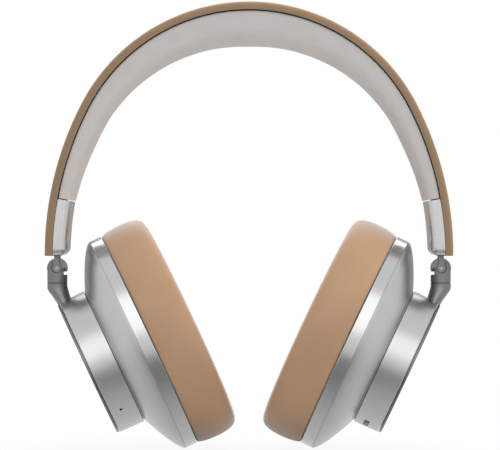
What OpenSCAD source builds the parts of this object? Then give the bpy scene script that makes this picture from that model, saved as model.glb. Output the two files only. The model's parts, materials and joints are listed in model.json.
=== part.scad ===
// Over-ear headphones. The origin is the middle of the headband pad's underside,
// where a head carries it. +X is the wearer's side seen on the right, +Y the far side, +Z up.
// Each side is drawn once, for -X, and mirrored for +X.

/* [Headband] */
// Half the width over the leather at the leg ends
half_span = 94.1; // [88:0.1:100]
// Height from the top of the crown to the leg ends
band_drop = 116.4; // [108:0.2:124]
// How much smaller the crown's radius is than half the width
crown_inset = 7.2; // [5:0.1:10]
// Width of the leather at the crown
crown_w = 36; // [30:0.5:42]
// Width of the leather at the leg ends
leg_w = 23; // [20:0.5:28]
// Thickness of the leather skin
cover_t = 1.1; // [0.8:0.1:1.4]
// Depth of the leather edge that wraps the band
cover_edge = 3.8; // [3.6:0.1:5]
// Thickness of the spring steel strip
spring_t = 0.9; // [0.6:0.1:1.1]
// Thickness of the stiff liner under the spring
liner_t = 1.2; // [0.8:0.1:1.4]
// Thickness of the pad at the crown
pad_crown = 15.2; // [10:0.2:19]
// Thickness of the pad where it meets the sleeves
pad_end = 7.3; // [6:0.1:9]
// Diameter of the cable that runs from cup to cup
cable_d = 1.6; // [1:0.1:2]

/* [Sleeves and sliders] */
// Length of the aluminium sleeve along the leg
sleeve_len = 27; // [20:0.5:34]
// Thickness of the sleeve, inside the leather edge
sleeve_t = 6.5; // [6:0.1:9]
// Radius of the sleeve's long inner edges
sleeve_edge_r = 3; // [1:0.1:4]
// Radius of the sleeve's lower inner corner
sleeve_corner_r = 4.2; // [2:0.1:5.5]
// Thickness of the slider strip
strip_t = 2.4; // [2:0.1:2.8]
// Width of the slider strip
strip_w = 7.2; // [6.4:0.1:8]
// Slider travel, in degrees along the leg's arc
slide_travel = 10; // [6:0.5:10]
// Length of strip that stays in the guide when drawn out
strip_grip = 18; // [12:0.5:22]
// Wall of the nylon guide channel
guide_wall = 0.8; // [0.6:0.1:1.2]
// Diameter of the rivets that hold each sleeve
rivet_d = 2; // [1.4:0.1:2.4]

/* [Fold and swivel hinge] */
// Height of the leg ends above the fold pin
pivot_drop = 5.8; // [5.6:0.1:8]
// Radius of the knuckle
knuckle_r = 4.65; // [4.4:0.05:5]
// Thickness of the knuckle's tongue, between the strip's prongs
tongue_w = 4.2; // [3.4:0.1:4.6]
// Radius of the eyes on the strip's prongs
eye_r = 2.1; // [1.8:0.05:2.3]
// Diameter of the fold pin
fold_pin_d = 2; // [1.4:0.1:2.4]
// Angle of the open wedge that lets a cup swing outward
wedge_angle = 17; // [16:0.5:22]
// Height of the small notch on the knuckle's inner side
notch_h = 1.6; // [1:0.1:2]
// Depth of the small notch
notch_depth = 2; // [1:0.1:2.2]
// Distance from the fold pin down to the swivel seam
seam_drop = 6.7; // [6:0.1:8]
// Thickness of the washer in the swivel seam
washer_t = 0.3; // [0.2:0.05:0.6]
// Diameter of the swivel pin
swivel_pin_d = 3; // [2:0.1:3.6]
// Length of the swivel pin on each side of the seam
swivel_grip = 3.1; // [2.4:0.1:3.4]

/* [Cup position] */
// Lean of the cup's axis from the horizontal
cup_tilt = 25; // [18:0.5:28]
// Turn of the cups about the swivel as they hang
toe_in = 6; // [0:0.5:12]
// Distance from the swivel axis in to the dial's centre
cup_in = 13.9; // [12:0.1:18]
// Drop from the fold pin to the drum's edge
arm_drop = 13.5; // [12:0.25:16]

/* [Drum] */
// Radius of the drum at the cup
drum_r = 33.4; // [31:0.2:36]
// Draft of the drum, from its inner to its outer end
drum_draft = 0.3; // [0.2:0.1:1.6]
// Depth of the drum with the dial
drum_depth = 13.5; // [12.6:0.1:15]
// Wall of the drum
drum_wall = 1.8; // [1.4:0.1:2.4]
// Thickness of the dial ring's face
dial_t = 1; // [0.8:0.1:1.4]
// Radius of the touch disc
disc_r = 24.6; // [22:0.1:26]
// Thickness of the drum's inner web
web_t = 1.2; // [0.8:0.1:1.6]
// Thickness of the circuit boards
board_t = 1.2; // [0.8:0.1:1.6]
// Thickness of the dark gasket behind the drum
gasket_t = 0.6; // [0.4:0.1:1.2]

/* [Controls] */
// Diameter of the headphone socket's bore
jack_bore_d = 3.6; // [3.55:0.05:3.8]
// Length of the headphone socket
jack_len = 14; // [12:0.5:16]
// Width of the charging socket
usb_w = 9; // [8.6:0.1:9.4]
// Height of the charging socket
usb_h = 3.2; // [3:0.1:3.6]
// Travel of the power slider, in degrees round the drum
power_travel = 6; // [4:0.5:8]
// Diameter of the assistant button
button_d = 4.4; // [3.6:0.1:4.8]
// Diameter of the microphone opening
mic_d = 1.3; // [1:0.1:1.8]

/* [Cup] */
// Half the height of the oval rim
rim_half_h = 53; // [50:0.2:57]
// Half the width of the oval rim
rim_half_w = 43; // [41:0.5:47]
// Depth of the lofted shell, from the drum to the rim
shell_depth = 11.6; // [9:0.1:13]
// How fast the shell flares towards the rim
shell_flare = 1.42; // [1.1:0.01:1.9]
// Wall of the cup shell
shell_wall = 2; // [1.4:0.1:2.6]
// Width of the bright rim band
rim_w = 5.7; // [5:0.1:7]
// Wall of the rim band above its ledge
rim_wall = 2.2; // [1.6:0.1:3]
// Width of the ledge that carries the baffle
ledge_w = 6; // [5:0.1:7]
// Thickness of the baffle
baffle_t = 2; // [1.6:0.1:2.4]

/* [Driver] */
// Radius of the driver's flange
driver_r = 22.5; // [20:0.5:25]
// Radius of the magnet pot
magnet_r = 12.4; // [10:0.2:14]
// Depth of the magnet pot
magnet_h = 6.4; // [5:0.2:7]

/* [Cushion] */
// Thickness of the cushion
cushion_t = 21.6; // [18:0.2:26]
// Radial width of the cushion's ring
cushion_w = 22.9; // [18:0.1:25]
// How far the cushion stands out past the rim
cushion_proud = 1.8; // [0.8:0.1:2.4]
// How far the cushion's sides draw in at its base
cushion_draw = 1.9; // [1:0.1:3]
// Thickness of the cushion's carrier ring
carrier_t = 1.5; // [1:0.1:2]

/* [Hidden] */
$fn = 64;
run_gap = 0.05;
seat_gap = 0.1;
skin_gap = 0.2;
part_gap = 0.3;
over = 1;

ALUMINIUM = "#C6C8CA";
BRIGHT = "#DFE1E3";
STEEL = "#8A8C8F";
LEATHER = "#B29170";
KNIT = "#C8C4C1";
DARK = "#2C2C2E";
NYLON = "#D9D6CF";
COPPER = "#B87333";
BOARD = "#2F5D43";

// Band: one crown arc and a leg arc on each side, tangent where they meet
band_top = cover_edge + skin_gap + pad_crown;
leg_end_z = band_top - band_drop;
crown_r = half_span - crown_inset;
crown_z = band_top - crown_r;
leg_r = (half_span * half_span + (band_drop - crown_r) * (band_drop - crown_r) - crown_r * crown_r)
    / (2 * crown_inset);
leg_x = half_span - leg_r;
band_turn = 90 - atan2(crown_z - leg_end_z, -leg_x);

// Depths under the outer face of the leather
spring_in = cover_t + skin_gap;
liner_in = spring_in + spring_t + seat_gap;
strip_in = cover_edge;
strip_mid = strip_in + strip_t / 2;
guide_in = strip_in + strip_t + run_gap;
pocket_in = guide_in + guide_wall + run_gap;
sleeve_in = cover_edge + seat_gap;
pad_in = cover_edge + skin_gap;
guide_w = strip_w + 2 * run_gap + 2 * guide_wall;
pocket_w = guide_w + 2 * run_gap;
groove_w = guide_w + 2 * part_gap;
core_w = leg_w - 2 * cover_t - 2 * skin_gap;

// Angles along the leg's arc, 90 at the leg end
deg_per_mm = 180 / (PI * leg_r);
sleeve_top = 90 - sleeve_len * deg_per_mm;
pad_stop = sleeve_top - part_gap * deg_per_mm;
strip_top = 90 - slide_travel - strip_grip * deg_per_mm;
guide_top = strip_top - 2 * deg_per_mm;
groove_from = guide_top - 2 * deg_per_mm;
rivet_at = (90 + sleeve_top) / 2;
rivet_y = (pocket_w / 2 + core_w / 2) / 2;
rivet_grip = 2;
rivet_end = cover_edge + rivet_grip;

// Fold pivot, on the middle line of the strip
pivot_x = half_span - strip_mid;
pivot_z = leg_end_z - pivot_drop;
pivot_angle = 90 + asin(pivot_drop / (leg_r - strip_mid));
prong_gap = tongue_w / 2 + run_gap;
arm_top = -seam_drop - washer_t - run_gap;

// Drum, in the cup's own frame: z = 0 is the dial's face and +Z points to the head
cup_drop = arm_drop + drum_r;
drum_top = dial_t + part_gap;
drum_tip_r = drum_r - drum_draft;
disc_lap = 0.8;
spigot_r = disc_r + disc_lap;
spigot_w = 2.4;
spigot_h = 2.5;
web_z = drum_top + spigot_h;
web_end = web_z + web_t;
dial_step = 0.3;
dial_r = drum_tip_r - dial_step;
board_set = 2.4;
board_z = drum_depth - board_set;
board_room = 4;
board_r = drum_r - drum_wall - board_room;
post_r = 2;
post_inset = 5.2;
post_at = board_r - post_inset;
control_z = (web_end + board_z) / 2;
wall_out = drum_tip_r + drum_draft * (control_z - drum_top) / (drum_depth - drum_top);
wall_in = wall_out - drum_wall;
jack_r = min(2.9, (board_z - web_end) / 2 - seat_gap);
usb_angle = 25;
power_angle = -25;
button_angle = 35;
mic_angle = -50;
mic_z = 0.46 * drum_depth;
power_w = 5;
power_h = 2.4;

// Cup stack along the same axis
neck_step = 0.4;
neck_r = drum_r - neck_step;
shell_z = drum_depth + gasket_t;
rim_z = shell_z + shell_depth;
rim_end = rim_z + rim_w;
ledge_t = rim_w * 0.43;
baffle_z = rim_z + ledge_t + run_gap;
baffle_end = baffle_z + baffle_t;
cloth_t = 0.4;
cloth_z = baffle_end + skin_gap;
carrier_z = rim_end + seat_gap;
carrier_end = carrier_z + carrier_t;
cushion_lip = rim_end + part_gap;
cushion_seat = carrier_end + skin_gap;
cushion_end = cushion_lip + cushion_t;
cushion_h = rim_half_h + cushion_proud;
cushion_v = rim_half_w + cushion_proud;
lip_w = 3;
carrier_inset = cushion_proud + cushion_draw + lip_w + skin_gap;

// Driver
flange_t = 1.1;
flange_w = 4;
cone_r = driver_r - flange_w;
flange_z = baffle_z - run_gap - flange_t;
basket_h = 3.5;
basket_z = flange_z - basket_h;
plate_t = 1;
magnet_end = basket_z + plate_t;
magnet_z = magnet_end - magnet_h;
cell_room = 1.1;
coil_r = 7.6;
coil_t = 0.5;
screw_d = 1.8;
screw_head_d = 3.4;
screw_head_t = 1;
screw_inset = rim_wall + ledge_w / 2;

oval_n = 60;
oval_step = 360 / oval_n;

function oval(rx, ry) = [for (i = [0 : oval_n - 1]) [rx * cos(i * oval_step), ry * sin(i * oval_step)]];
function oval_at(rx, ry, z) = [for (p = oval(rx, ry)) [p[0], p[1], z]];
function signed_pow(v, e) = sign(v) * pow(abs(v), e);

// A point of the band: angle from the crown, depth under the leather, place across
function band_point(a, depth, y) =
    abs(a) <= band_turn
        ? [(crown_r - depth) * sin(a), y, crown_z + (crown_r - depth) * cos(a)]
        : [sign(a) * leg_x + (leg_r - depth) * sin(a), y, leg_end_z + (leg_r - depth) * cos(a)];
function band_half(a) = leg_w / 2 + (crown_w - leg_w) / 2 * cos(a);
function band_ring(a, section) = [for (p = section) band_point(a, p[1], p[0])];
function spread(from, to, count) = [for (i = [0 : count]) from + (to - from) * i / count];
function ease(v) = let (c = min(1, max(0, v))) c * c * (3 - 2 * c);

// End face over a ring, as a strip that joins point j to point n - 1 - j
function end_face(n, base, flip) = [for (j = [0 : n / 2 - 2], half = [0, 1])
    let (t = half == 0 ? [j, j + 1, n - 2 - j] : [j, n - 2 - j, n - 1 - j])
    [for (k = flip ? [2 : -1 : 0] : [0 : 2]) base + t[k]]];

// Closed skin over rings of equal, even count, with end faces or joined into a loop
module loft(rings, loop = false) {
    m = len(rings);
    n = len(rings[0]);
    sides = [for (i = [0 : (loop ? m : m - 1) - 1], j = [0 : n - 1], half = [0, 1])
        let (a = i * n + j, b = i * n + (j + 1) % n)
        let (c = (i + 1) % m * n + (j + 1) % n, d = (i + 1) % m * n + j)
        half == 0 ? [a, b, c] : [a, c, d]];
    ends = loop ? [] : concat(end_face(n, 0, true), end_face(n, (m - 1) * n, false));
    polyhedron(points = [for (r = rings) each r], faces = concat(sides, ends), convexity = 10);
}

// Block bent to the leg's arc: depth range, width, and angle range from the crown
module leg_block(depth_a, depth_b, width, from, to) {
    translate([-leg_x, 0, leg_end_z])
        rotate([90, 0, 0])
        rotate_extrude(angle = to - from, start = 90 + from, $fn = 180)
        translate([leg_r - depth_b, -width / 2])
        square([depth_b - depth_a, width]);
}

module on_side(side) {
    mirror([side > 0 ? 1 : 0, 0, 0]) children();
}

module at_leg(a, depth, y) {
    p = band_point(-a, depth, y);
    translate(p) rotate([0, -a, 0]) children();
}

module at_pivot() {
    translate([-pivot_x, 0, pivot_z]) children();
}

module at_yoke() {
    at_pivot() rotate([0, 0, toe_in]) children();
}

module in_cup() {
    translate([cup_in, 0, -cup_drop]) rotate([0, 90 - cup_tilt, 0]) children();
}

module at_cup() {
    at_yoke() in_cup() children();
}

// Radial place on the drum's wall, +X outward
module on_wall(angle, z = control_z) {
    rotate([0, 0, angle]) translate([0, 0, z]) children();
}

module oval_plate(inset, z, t) {
    translate([0, 0, z])
        linear_extrude(t)
        polygon(oval(rim_half_h - inset, rim_half_w - inset));
}

module pin_y(d, length) {
    rotate([90, 0, 0]) cylinder(d = d, h = length, center = true);
}

// Half of a channel section: edge, then a rounded corner of radius r at depth t
function channel_half(half, t, r) = concat([[half, cover_edge]],
    [for (b = [0, 45, 90]) [half - r + r * cos(b), t + r - r * sin(b)]]);
function flipped(list) = [for (i = [len(list) - 1 : -1 : 0]) [-list[i][0], list[i][1]]];
function reversed(list) = [for (i = [len(list) - 1 : -1 : 0]) list[i]];

module headband_cover() {
    outer_r = 0.9;
    inner_r = 0.3;
    color(LEATHER)
        loft([for (a = spread(-90, 90, 48))
            let (outer = channel_half(band_half(a), 0, outer_r))
            let (inner = channel_half(band_half(a) - cover_t, cover_t, inner_r))
            band_ring(a, concat(
                reversed(concat(outer, flipped(outer))),
                concat(inner, flipped(inner))))]);
}

// The spring and the liner are rolled strips of one width that follow the band
module band_strip(depth, t) {
    bend = spread(-90, 90, 72);
    outer = [for (a = bend) band_point(a, depth, 0)];
    inner = [for (a = bend) band_point(a, depth + t, 0)];
    rotate([90, 0, 0])
        linear_extrude(core_w, center = true)
        polygon([for (p = concat(outer, reversed(inner))) [p[0], p[2]]]);
}

module rivet_holes() {
    for (side = [-1, 1], y = [-rivet_y, rivet_y])
        on_side(side)
            at_leg(rivet_at, rivet_end + run_gap, y)
            cylinder(d = rivet_d + 2 * run_gap, h = rivet_end + over);
}

module headband_spring() {
    color(STEEL)
        difference() {
            band_strip(spring_in, spring_t);
            rivet_holes();
        }
}

module headband_liner() {
    color(DARK)
        difference() {
            band_strip(liner_in, liner_t);
            rivet_holes();
        }
}

module band_rivets() {
    color(STEEL)
        for (side = [-1, 1], y = [-rivet_y, rivet_y])
            on_side(side)
                at_leg(rivet_at, rivet_end, y)
                cylinder(d = rivet_d, h = rivet_end - spring_in);
}

function pad_depth(a) = pad_crown - (pad_crown - pad_end) * pow(abs(a) / pad_stop, 1.4);
function groove_depth(a) =
    cable_d + (pocket_in + part_gap - pad_in - cable_d) * ease((abs(a) - groove_from + 8) / 6);

// The crowned underside and the groove over it have the same count of points
module headband_pad() {
    steps = 11;
    side_in = 0.3;
    top_in = 0.3;
    g = groove_w / 2;
    color(KNIT)
        loft([for (a = spread(-pad_stop, pad_stop, 38))
            let (h = band_half(a) - side_in, t = pad_depth(a), floor = pad_in + groove_depth(a))
            let (under = [for (i = [0 : steps]) let (b = 180 * i / steps)
                [h * signed_pow(cos(b), 0.7), pad_in + t * (0.3 + 0.7 * pow(sin(b), 0.7))]])
            let (groove = [for (y = spread(-g, g, steps)) [y, floor]])
            band_ring(a, concat(
                [[h - top_in, pad_in]], under, [[top_in - h, pad_in]],
                [[-g, pad_in]], groove, [[g, pad_in]]))]);
}

module headband_cable() {
    sides = 6;
    depth = pad_in + cable_d / 2;
    color(DARK)
        loft([for (a = spread(-groove_from, groove_from, 36))
            band_ring(a, [for (i = [0 : sides - 1]) let (b = 360 * i / sides)
                [cable_d * 0.45 * cos(b), depth + cable_d * 0.45 * sin(b)]])]);
}

module sleeve(side) {
    sleeve_w = leg_w - 1;
    r = sleeve_edge_r;
    corner = sleeve_corner_r;
    inner = leg_r - sleeve_in - sleeve_t;
    color(BRIGHT)
        on_side(side)
        difference() {
            translate([-leg_x, 0, leg_end_z])
                rotate([90, 0, 0])
                rotate_extrude(angle = 90 - sleeve_top, start = 90 + sleeve_top, $fn = 180)
                translate([inner, -sleeve_w / 2])
                difference() {
                    square([sleeve_t, sleeve_w]);
                    for (flip = [0, 1])
                        translate([0, flip * sleeve_w])
                            mirror([0, flip])
                            difference() {
                                translate([-over, -over]) square(r + over);
                                translate([r, r]) circle(r);
                            }
                }
            leg_block(0, pocket_in, pocket_w, sleeve_top - over, 90 + over);
            rivet_holes();
            translate([-leg_x - inner, 0, leg_end_z])
                rotate([90, 0, 0])
                linear_extrude(sleeve_w + 2 * over, center = true)
                difference() {
                    translate([-corner, -over]) square(corner + over);
                    translate([-corner, corner]) circle(corner);
                }
        }
}

module slider_guide(side) {
    color(NYLON)
        on_side(side)
        difference() {
            leg_block(strip_in - skin_gap, guide_in + guide_wall, guide_w, guide_top, 90);
            leg_block(0, guide_in, strip_w + 2 * run_gap, guide_top - over, 90 + over);
        }
}

// Curved strip with two prongs at its lower end, each with a round eye on the fold pin
module slider_arm(side) {
    color(STEEL)
        on_side(side)
        difference() {
            union() {
                leg_block(strip_in, strip_in + strip_t, strip_w, strip_top, pivot_angle);
                at_pivot() pin_y(2 * eye_r, strip_w);
            }
            at_pivot() {
                pin_y(2 * (knuckle_r + part_gap), 2 * prong_gap);
                pin_y(fold_pin_d + 2 * run_gap, strip_w + 2 * over);
            }
        }
}

module fold_pin(side) {
    color(STEEL)
        on_side(side) at_pivot() pin_y(fold_pin_d, strip_w);
}

module knuckle(side) {
    eye_room = eye_r + part_gap;
    wedge_at = strip_t / 2 + part_gap;
    room = 2 * knuckle_r;
    color(STEEL)
        on_side(side)
        at_pivot()
        difference() {
            union() {
                pin_y(2 * knuckle_r, tongue_w);
                intersection() {
                    translate([0, 0, -seam_drop]) cylinder(r = knuckle_r, h = seam_drop + knuckle_r);
                    union() {
                        sphere(r = knuckle_r + 0.02, $fn = 96);
                        translate([-room, -room, -seam_drop]) cube([2 * room, 2 * room, seam_drop]);
                    }
                }
            }
            // Room for the prongs at both faces, open to the inner side, with a slanted outer wall
            for (flip = [0, 1])
                mirror([0, flip, 0])
                translate([0, tongue_w / 2, 0])
                rotate([-90, 0, 0])
                linear_extrude(knuckle_r)
                union() {
                    circle(eye_room);
                    polygon([[-wedge_at, 0], [room, 0], [room, -room],
                        [-wedge_at - room * tan(wedge_angle), -room]]);
                }
            pin_y(fold_pin_d + run_gap, strip_w + 2 * over);
            translate([knuckle_r - notch_depth, -room, -eye_room - notch_h / 2])
                cube([room, 2 * room, notch_h]);
            translate([0, 0, -seam_drop - over])
                cylinder(d = swivel_pin_d + 2 * run_gap, h = swivel_grip + run_gap + over);
        }
}

module swivel_washer(side) {
    color(DARK)
        on_side(side)
        at_pivot()
        translate([0, 0, -seam_drop - washer_t])
        difference() {
            cylinder(r = knuckle_r - 0.25, h = washer_t);
            translate([0, 0, -over]) cylinder(d = swivel_pin_d + 2 * run_gap, h = washer_t + 2 * over);
        }
}

module swivel_pin(side) {
    groove = 0.3;
    color(STEEL)
        on_side(side)
        at_yoke()
        translate([0, 0, arm_top - swivel_grip])
        difference() {
            cylinder(d = swivel_pin_d, h = 2 * swivel_grip + washer_t);
            translate([0, 0, 2 * swivel_grip - groove])
                difference() {
                    cylinder(d = swivel_pin_d + over, h = groove);
                    cylinder(d = swivel_pin_d - 2 * groove, h = groove);
                }
        }
}

// Short arm that leaves the round seam and leans in to grow out of the drum's top
function arm_out(d) = -knuckle_r + 0.9 * pow(max(0, d - 3.2), 0.88);
function arm_in(d) = knuckle_r + 0.3 * max(0, d - 1.8);
function arm_ring(d) =
    let (mid = (arm_out(d) + arm_in(d)) / 2, half = (arm_in(d) - arm_out(d)) / 2)
    let (y = knuckle_r + 0.25 * max(0, d - 2))
    [for (i = [0 : 31]) let (b = 360 * i / 32) [mid + half * cos(b), y * sin(b), arm_top - d]];

module yoke_arm(side) {
    root = 1.5;
    arm_len = arm_drop + root;
    color(ALUMINIUM)
        on_side(side)
        at_yoke()
        difference() {
            loft([for (d = spread(0, arm_len, 12)) arm_ring(d)]);
            translate([0, 0, arm_top - swivel_grip])
                cylinder(d = swivel_pin_d + run_gap, h = swivel_grip + over);
            in_cup() drum_envelope(run_gap);
        }
}

// Cone that just holds the drum, drawn on past both of its ends
module drum_envelope(gap) {
    slope = drum_draft / (drum_depth - drum_top);
    ext = 20;
    translate([0, 0, drum_top - ext])
        cylinder(
            r1 = drum_tip_r + gap - slope * ext,
            r2 = drum_r + gap + slope * ext,
            h = drum_depth - drum_top + 2 * ext);
}

module drum_wall_cuts(side) {
    if (side < 0) {
        on_wall(mic_angle, mic_z) rotate([0, 90, 0]) cylinder(d = mic_d + 2 * run_gap, h = drum_r + over);
        on_wall(button_angle) rotate([0, 90, 0]) cylinder(d = button_d + 2 * seat_gap, h = drum_r + over);
    } else {
        on_wall(0) rotate([0, 90, 0]) cylinder(r = jack_r - 0.3 + seat_gap, h = drum_r + over);
        on_wall(usb_angle) usb_solid(usb_w + 2 * seat_gap, usb_h + 2 * seat_gap, drum_r + over);
        power_arc(0, drum_r + over, power_w + power_travel + 0.6, power_h + 2 * seat_gap, -0.3);
    }
}

module drum_housing(side) {
    edge = 0.4;
    color(ALUMINIUM)
        on_side(side)
        at_cup()
        difference() {
            union() {
                rotate_extrude($fn = 128)
                    polygon([[0, web_z], [spigot_r - spigot_w, web_z], [spigot_r - spigot_w, drum_top],
                        [spigot_r, drum_top], [spigot_r, web_z],
                        [drum_tip_r - drum_wall, web_z], [drum_tip_r - drum_wall, drum_top],
                        [drum_tip_r - edge, drum_top], [drum_tip_r, drum_top + edge],
                        [drum_r, drum_depth], [drum_r - drum_wall, drum_depth],
                        [drum_tip_r - drum_wall, web_end], [0, web_end]]);
                for (b = [60, 180, 300])
                    rotate([0, 0, b])
                        translate([post_at, 0, web_z + web_t / 2])
                        cylinder(r = post_r, h = board_z - web_z - web_t / 2);
            }
            difference() {
                drum_wall_cuts(side);
                translate([0, 0, web_end]) cylinder(r = wall_in - 2, h = board_z);
            }
        }
}

module dial_ring(side) {
    skirt = 1.5;
    lip = 0.35;
    color(BRIGHT)
        on_side(side)
        at_cup()
        rotate_extrude($fn = 128)
        polygon([[disc_r + part_gap, 0], [dial_r - lip, 0], [dial_r, lip], [dial_r, dial_t],
            [spigot_r + run_gap + skirt, dial_t], [spigot_r + run_gap + skirt, web_z - part_gap],
            [spigot_r + run_gap, web_z - part_gap], [spigot_r + run_gap, dial_t],
            [disc_r + part_gap, dial_t]]);
}

module touch_disc(side) {
    dish = 0.2;
    color(ALUMINIUM)
        on_side(side)
        at_cup()
        rotate_extrude($fn = 128)
        polygon([[0, 2 * dish], [disc_r * 0.8, dish * 1.5], [disc_r - dish, dish], [disc_r, 2 * dish],
            [disc_r, drum_top], [0, drum_top]]);
}

module circuit_board(side) {
    color(BOARD)
        on_side(side)
        at_cup()
        translate([0, 0, board_z])
        difference() {
            cylinder(r = board_r, h = board_t);
            for (b = [60, 180, 300])
                rotate([0, 0, b])
                    translate([post_at, 0, -over])
                    cylinder(d = screw_d, h = board_t + 2 * over);
        }
}

module drum_gasket(side) {
    set_in = 1.2;
    width = 2.7;
    color(DARK)
        on_side(side)
        at_cup()
        translate([0, 0, drum_depth + run_gap])
        difference() {
            cylinder(r = drum_r - set_in, h = gasket_t - 2 * run_gap);
            translate([0, 0, -over]) cylinder(r = drum_r - set_in - width, h = gasket_t + 2 * over);
        }
}

// Flat cell that fills the room between the board and the magnet
module battery_cell() {
    from = board_z + board_t + seat_gap;
    cell = [1.25 * board_r, 0.955 * board_r, magnet_z - cell_room - from];
    r = 0.09 * board_r;
    color(DARK)
        on_side(-1)
        at_cup()
        translate([-cell[0] / 2, -cell[1] / 2, from])
        linear_extrude(cell[2])
        translate([r, r])
        offset(r, $fn = 32)
        square([cell[0] - 2 * r, cell[1] - 2 * r]);
}

// Round at the drum, oval at the rim: radius and width share one flare curve
function flare(h) = 1 - pow(1 - h, shell_flare);
function shell_ring(h, wall) = oval_at(
    neck_r + (rim_half_h - neck_r) * flare(h) - wall,
    neck_r + (rim_half_w - neck_r) * flare(h) - wall,
    shell_z + shell_depth * h);

module cup_shell(side) {
    steps = 9;
    color(ALUMINIUM)
        on_side(side)
        at_cup()
        loft(concat(
            [for (h = spread(0, 1, steps)) shell_ring(h, shell_wall)],
            [for (h = spread(1, 0, steps)) shell_ring(h, 0)]), loop = true);
}

module at_screws(z) {
    for (b = [40, 140, 220, 320])
        translate([(rim_half_h - screw_inset) * cos(b), (rim_half_w - screw_inset) * sin(b), z])
            children();
}

module rim_ring(side) {
    color(BRIGHT)
        on_side(side)
        at_cup()
        difference() {
            oval_plate(0, rim_z + run_gap, rim_w - run_gap);
            oval_plate(rim_wall, rim_z + ledge_t, rim_w);
            oval_plate(rim_wall + ledge_w, rim_z - over, rim_w);
            at_screws(rim_z - over) cylinder(d = screw_d + 2 * run_gap, h = rim_w);
        }
}

module baffle(side) {
    color(DARK)
        on_side(side)
        at_cup()
        difference() {
            oval_plate(rim_wall + seat_gap, baffle_z, baffle_t);
            translate([0, 0, baffle_z - over]) cylinder(r = cone_r + 0.5, h = baffle_t + 2 * over);
            at_screws(baffle_z - over) cylinder(d = screw_d + 2 * run_gap, h = baffle_t + 2 * over);
            at_screws(baffle_end - screw_head_t - run_gap)
                cylinder(d = screw_head_d + 2 * seat_gap, h = baffle_t);
        }
}

module baffle_screws(side) {
    color(STEEL)
        on_side(side)
        at_cup()
        at_screws(rim_z + part_gap) {
            cylinder(d = screw_d, h = baffle_end - rim_z - part_gap - screw_head_t / 2);
            translate([0, 0, baffle_end - screw_head_t - rim_z - part_gap])
                cylinder(d = screw_head_d, h = screw_head_t);
        }
}

module driver_basket(side) {
    wall = 1;
    color(DARK)
        on_side(side)
        at_cup()
        rotate_extrude($fn = 96)
        polygon([[magnet_r + run_gap, basket_z], [cone_r + wall, basket_z], [cone_r + wall, flange_z],
            [driver_r, flange_z], [driver_r, flange_z + flange_t], [cone_r, flange_z + flange_t],
            [cone_r, basket_z + plate_t], [magnet_r + run_gap, basket_z + plate_t]]);
}

module driver_magnet(side) {
    pole_r = coil_r - coil_t;
    gap_r = coil_r + coil_t + 0.6;
    base_t = 1.5;
    color(STEEL)
        on_side(side)
        at_cup()
        rotate_extrude($fn = 96)
        polygon([[0, magnet_z], [magnet_r, magnet_z], [magnet_r, magnet_end], [gap_r, magnet_end],
            [gap_r, magnet_z + base_t], [pole_r, magnet_z + base_t], [pole_r, magnet_end], [0, magnet_end]]);
}

// Thin cone with a domed middle and the voice coil on its back
module driver_diaphragm(side) {
    film = 0.3;
    edge = cone_r - seat_gap;
    z = flange_z + seat_gap;
    dome = 1.4;
    color(COPPER)
        on_side(side)
        at_cup()
        rotate_extrude($fn = 96)
        polygon([[0, z + dome], [coil_r, z], [coil_r, magnet_end - 2], [coil_r + coil_t, magnet_end - 2],
            [coil_r + coil_t, z], [edge - 4, z + dome * 0.7], [edge - 2, z], [edge, z],
            [edge, z + film], [edge - 2, z + film], [edge - 4, z + dome * 0.7 + film],
            [coil_r, z + film], [0, z + dome + film]]);
}

module driver_cloth(side) {
    color(DARK)
        on_side(side) at_cup() oval_plate(rim_wall + seat_gap, cloth_z, cloth_t);
}

module cushion_ring(side) {
    color(DARK)
        on_side(side)
        at_cup()
        difference() {
            oval_plate(carrier_inset - cushion_proud, carrier_z, carrier_t);
            oval_plate(cushion_w - cushion_proud - 3, carrier_z - over, carrier_t + 2 * over);
        }
}

// Crowned ring whose sides draw in towards its base, with a lip that hides the carrier ring
function cushion_section() =
    let (half = cushion_w / 2, rise = cushion_end - cushion_seat, steps = 16, e = 0.5)
    concat([[cushion_draw + lip_w, cushion_lip], [cushion_draw + lip_w, cushion_seat]],
        [for (i = [steps : -1 : 0])
            let (a = 180 * i / steps, h = pow(sin(a), 1.3))
            let (k = sign(90 - a) * pow(max(0, 1 - pow(h, 2 / e)), e / 2))
            [half * (1 - k) + cushion_draw * k * pow(1 - h, 8), cushion_seat + rise * h]],
        [[cushion_draw, cushion_lip]]);

module ear_cushion(side) {
    color(LEATHER)
        on_side(side)
        at_cup()
        loft([for (p = cushion_section()) oval_at(cushion_h - p[0], cushion_v - p[0], p[1])], loop = true);
}

// Arc block round the drum's axis at the power slider's place
module power_arc(r_a, r_b, degrees, height, shift) {
    on_wall(power_angle - power_w / 2 + shift)
        translate([0, 0, -height / 2])
        rotate_extrude(angle = degrees, $fn = 128)
        translate([r_a, 0])
        square([r_b - r_a, height]);
}

module power_slider() {
    proud = 0.7;
    foot = 1.4;
    color(STEEL)
        on_side(1)
        at_cup()
        union() {
            power_arc(wall_in - part_gap - foot / 2, wall_out + proud, power_w, power_h, 0);
            power_arc(wall_in - part_gap - 0.4 - foot, wall_in - part_gap - 0.4, power_w + 4, power_h + 2, -2);
        }
}

// Stadium outline pushed out along +X
module usb_solid(w, h, depth) {
    rotate([90, 0, 90])
        linear_extrude(depth)
        union() {
            square([w - h, h], center = true);
            for (s = [-1, 1])
                translate([s * (w - h) / 2, 0]) circle(d = h);
        }
}

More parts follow.
